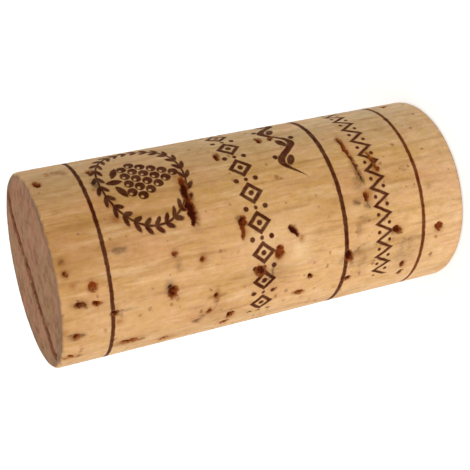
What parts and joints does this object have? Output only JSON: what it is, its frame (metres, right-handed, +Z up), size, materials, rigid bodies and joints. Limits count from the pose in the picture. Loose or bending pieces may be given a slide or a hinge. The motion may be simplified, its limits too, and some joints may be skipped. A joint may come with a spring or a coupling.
{
  "type": "cork stopper",
  "caption": "Natural cork stopper for a wine bottle: a straight cylinder of bark with pores, splits and branded rings.",
  "frame": {"origin": "centre of the foot, the end face that the cork stands on", "axes": "+Z up the cork's own axis, -Y to the front, +X to the right"},
  "size_m": [0.024, 0.024, 0.0535],
  "materials": {
    "cork": "natural cork bark, cut and sanded, printed in dark brown"
  },
  "bodies": {
    "root": {"stopper": "cork"}
  },
  "joints": []
}
